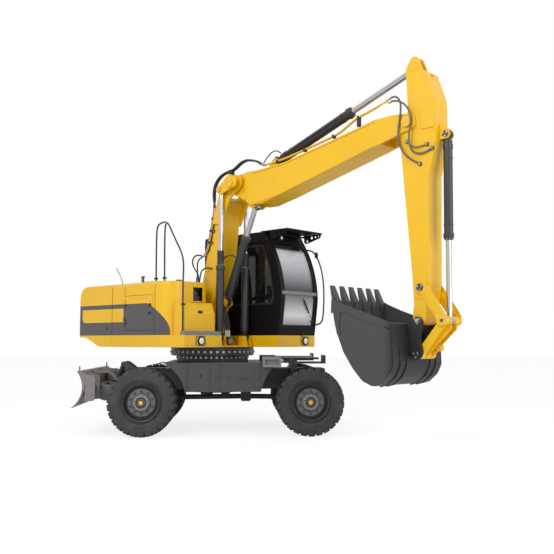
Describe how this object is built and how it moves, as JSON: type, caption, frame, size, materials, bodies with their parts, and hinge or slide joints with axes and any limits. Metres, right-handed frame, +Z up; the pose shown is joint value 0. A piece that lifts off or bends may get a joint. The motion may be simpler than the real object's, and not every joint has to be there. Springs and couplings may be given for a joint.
{
  "type": "wheeled excavator",
  "caption": "Wheeled excavator with a two-piece boom, bucket and dozer blade, its upper structure slewed part way round on the chassis.",
  "frame": {"origin": "on the ground under the slew axis", "axes": "+X forward along the chassis, +Y to its left, +Z up along the slew axis"},
  "size_m": [5.7151, 5.8283, 5.3431],
  "materials": {
    "body_yellow": "satin",
    "chassis_grey": "satin",
    "cab_grey": "satin",
    "ram_grey": "satin",
    "chrome": "polished",
    "glass": "clear",
    "black_plastic": "satin",
    "seat_fabric": "matte",
    "lamp_lens": "clear",
    "rubber": "matte",
    "rim_black": "satin"
  },
  "bodies": {
    "chassis": {"chassis_frame": "chassis_grey", "steps_and_guards": "chassis_grey", "rear_axle": "chassis_grey", "front_axle": "chassis_grey", "driveline": "chassis_grey"},
    "knuckle_right": {"knuckle_right": "chassis_grey"},
    "knuckle_left": {"knuckle_left": "chassis_grey"},
    "blade": {"dozer_blade": "chassis_grey"},
    "blade_ram_barrel": {"blade_ram_barrels": "ram_grey"},
    "blade_ram_rod": {"blade_ram_rods": "chrome"},
    "upper": {"upper_frame": "body_yellow", "counterweight": "body_yellow", "engine_cover": "body_yellow", "engine_block": "ram_grey", "fuel_tank": "body_yellow", "toolbox": "body_yellow", "cab_floor": "cab_grey", "cab_side_walls": "cab_grey", "cab_rear_wall": "cab_grey", "cab_front_frame": "cab_grey", "cab_roof": "body_yellow", "cab_glass": "glass", "cab_seat": "seat_fabric", "roof_guard": "cab_grey", "lamps": "lamp_lens", "handrails": "black_plastic"},
    "service_door": {"service_door": "body_yellow"},
    "toolbox_lid": {"toolbox_lid": "body_yellow"},
    "cab_door": {"cab_door": "cab_grey", "cab_door_glass": "glass"},
    "base_boom": {"base_boom": "body_yellow"},
    "lift_ram_barrel": {"lift_ram_barrels": "ram_grey"},
    "lift_ram_rod": {"lift_ram_rods": "chrome"},
    "outer_boom": {"outer_boom": "body_yellow"},
    "adjust_ram_barrel": {"adjust_ram_barrel": "ram_grey"},
    "adjust_ram_rod": {"adjust_ram_rod": "chrome"},
    "stick": {"stick": "body_yellow"},
    "stick_ram_barrel": {"stick_ram_barrel": "ram_grey"},
    "stick_ram_rod": {"stick_ram_rod": "chrome"},
    "bucket": {"bucket": "chassis_grey"},
    "rocker": {"rocker": "body_yellow"},
    "bucket_link": {"bucket_link": "body_yellow"},
    "bucket_ram_barrel": {"bucket_ram_barrel": "ram_grey"},
    "bucket_ram_rod": {"bucket_ram_rod": "chrome"},
    "wheel_front_right": {"tyres_front_right": "rubber", "hub_front_right": "rim_black"},
    "wheel_front_left": {"tyres_front_left": "rubber", "hub_front_left": "rim_black"},
    "wheel_rear_right": {"tyres_rear_right": "rubber", "hub_rear_right": "rim_black"},
    "wheel_rear_left": {"tyres_rear_left": "rubber", "hub_rear_left": "rim_black"}
  },
  "joints": [
    {"name": "steering_right", "type": "hinge", "parent": "chassis", "child": "knuckle_right", "pos_m": [1.556, -0.52, 0.526], "axis": [0, 0, 1], "range_deg": [-25, 25]},
    {"name": "steering_left", "type": "hinge", "parent": "chassis", "child": "knuckle_left", "pos_m": [1.556, 0.52, 0.526], "axis": [0, 0, 1], "range_deg": [-25.2, 25.2]},
    {"name": "wheel_front_right_spin", "type": "hinge", "parent": "knuckle_right", "child": "wheel_front_right", "pos_m": [1.556, -0.95, 0.526], "axis": [0, 1, 0], "continuous": true},
    {"name": "wheel_front_left_spin", "type": "hinge", "parent": "knuckle_left", "child": "wheel_front_left", "pos_m": [1.556, 0.95, 0.526], "axis": [0, 1, 0], "continuous": true},
    {"name": "wheel_rear_right_spin", "type": "hinge", "parent": "chassis", "child": "wheel_rear_right", "pos_m": [-1.044, -0.95, 0.526], "axis": [0, 1, 0], "continuous": true},
    {"name": "wheel_rear_left_spin", "type": "hinge", "parent": "chassis", "child": "wheel_rear_left", "pos_m": [-1.044, 0.95, 0.526], "axis": [0, 1, 0], "continuous": true},
    {"name": "blade_lift", "type": "hinge", "parent": "chassis", "child": "blade", "pos_m": [-1.3, 0, 0.6], "axis": [0, 1, 0], "range_deg": [-9, 28]},
    {"name": "blade_barrel_turn", "type": "hinge", "parent": "chassis", "child": "blade_ram_barrel", "pos_m": [-1.47, 0, 1.09], "axis": [0, 1, 0], "range_deg": [-2.07, 6.45]},
    {"name": "blade_rod_slide", "type": "slide", "parent": "blade_ram_barrel", "child": "blade_ram_rod", "axis": [-0.3375, 0, -0.9413], "range_m": [-0.16882, 0.05494]},
    {"name": "slew", "type": "hinge", "parent": "chassis", "child": "upper", "pos_m": [0, 0, 1.232], "axis": [0, 0, 1], "continuous": true},
    {"name": "service_door_swing", "type": "hinge", "parent": "upper", "child": "service_door", "pos_m": [-1.44603, -0.3387, 1.925], "axis": [0, 0, -1], "range_deg": [0, 110]},
    {"name": "toolbox_lid_swing", "type": "hinge", "parent": "upper", "child": "toolbox_lid", "pos_m": [-0.33517, -0.8457, 2.07], "axis": [-0.7071, -0.7071, 0], "range_deg": [0, 80]},
    {"name": "cab_door_swing", "type": "hinge", "parent": "upper", "child": "cab_door", "pos_m": [0.85206, 0.93267, 2.39], "axis": [0, 0, 1], "range_deg": [0, 150]},
    {"name": "boom_lift", "type": "hinge", "parent": "upper", "child": "base_boom", "pos_m": [-0.05657, -0.05657, 1.72], "axis": [0.7071, 0.7071, 0], "range_deg": [-4, 56]},
    {"name": "lift_barrel_turn", "type": "hinge", "parent": "upper", "child": "lift_ram_barrel", "pos_m": [0.33234, -0.44548, 1.54], "axis": [0.7071, 0.7071, 0], "range_deg": [-4.16, 58.26]},
    {"name": "lift_rod_slide", "type": "slide", "parent": "lift_ram_barrel", "child": "lift_ram_rod", "axis": [0.0103, -0.0103, 0.9999], "range_m": [-0.54789, 0.04006]},
    {"name": "boom_adjust", "type": "hinge", "parent": "base_boom", "child": "outer_boom", "pos_m": [0.53033, -0.64347, 4], "axis": [-0.7071, -0.7071, 0], "range_deg": [-16, 50]},
    {"name": "adjust_barrel_turn", "type": "hinge", "parent": "base_boom", "child": "adjust_ram_barrel", "pos_m": [0.24395, -0.35709, 2.12], "axis": [0.7071, 0.7071, 0], "range_deg": [-0.78, 2.42]},
    {"name": "adjust_rod_slide", "type": "slide", "parent": "adjust_ram_barrel", "child": "adjust_ram_rod", "axis": [0.2819, -0.2819, 0.9171], "range_m": [-0.11438, 0.35532]},
    {"name": "stick_swing", "type": "hinge", "parent": "outer_boom", "child": "stick", "pos_m": [2.84257, -2.95571, 4.42], "axis": [0.7071, 0.7071, 0], "range_deg": [-70, 38]},
    {"name": "stick_barrel_turn", "type": "hinge", "parent": "outer_boom", "child": "stick_ram_barrel", "pos_m": [1.06066, -1.1738, 4.3], "axis": [0.7071, 0.7071, 0], "range_deg": [-0.85, 0.46]},
    {"name": "stick_rod_slide", "type": "slide", "parent": "stick_ram_barrel", "child": "stick_ram_rod", "axis": [0.6673, -0.6673, 0.3309], "range_m": [-0.84255, 0.45784]},
    {"name": "bucket_curl", "type": "hinge", "parent": "stick", "child": "bucket", "pos_m": [2.92742, -3.04056, 1.735], "axis": [0.7071, 0.7071, 0], "range_deg": [-145, 7]},
    {"name": "rocker_turn", "type": "hinge", "parent": "stick", "child": "rocker", "pos_m": [2.95571, -3.06884, 2.17], "axis": [0.7071, 0.7071, 0], "range_deg": [-114.52, 5.53]},
    {"name": "link_turn", "type": "hinge", "parent": "rocker", "child": "bucket_link", "pos_m": [3.17844, -3.29158, 1.73], "axis": [0.7071, 0.7071, 0], "range_deg": [-3.75, 77.62]},
    {"name": "bucket_barrel_turn", "type": "hinge", "parent": "stick", "child": "bucket_ram_barrel", "pos_m": [3.19612, -3.30926, 4.19], "axis": [0.7071, 0.7071, 0], "range_deg": [-2.93, 0.14]},
    {"name": "bucket_rod_slide", "type": "slide", "parent": "bucket_ram_barrel", "child": "bucket_ram_rod", "axis": [-0.0072, 0.0072, -0.9999], "range_m": [-0.88539, 0.04369]}
  ],
  "couplings": [
    {"joint": "steering_left", "follows": "steering_right", "ratio": 1},
    {"joint": "blade_barrel_turn", "follows": "blade_lift", "ratio": 0.228},
    {"joint": "blade_rod_slide", "follows": "blade_lift", "m_per_rad": -0.34},
    {"joint": "lift_barrel_turn", "follows": "boom_lift", "ratio": 1.03},
    {"joint": "lift_rod_slide", "follows": "boom_lift", "m_per_rad": -0.554},
    {"joint": "adjust_barrel_turn", "follows": "boom_adjust", "ratio": 0.048},
    {"joint": "adjust_rod_slide", "follows": "boom_adjust", "m_per_rad": 0.402},
    {"joint": "stick_barrel_turn", "follows": "stick_swing", "ratio": 0.012},
    {"joint": "stick_rod_slide", "follows": "stick_swing", "m_per_rad": 0.682},
    {"joint": "rocker_turn", "follows": "bucket_curl", "ratio": 0.782},
    {"joint": "link_turn", "follows": "bucket_curl", "ratio": -0.53},
    {"joint": "bucket_barrel_turn", "follows": "bucket_curl", "ratio": 0.02},
    {"joint": "bucket_rod_slide", "follows": "bucket_curl", "m_per_rad": 0.346}
  ]
}
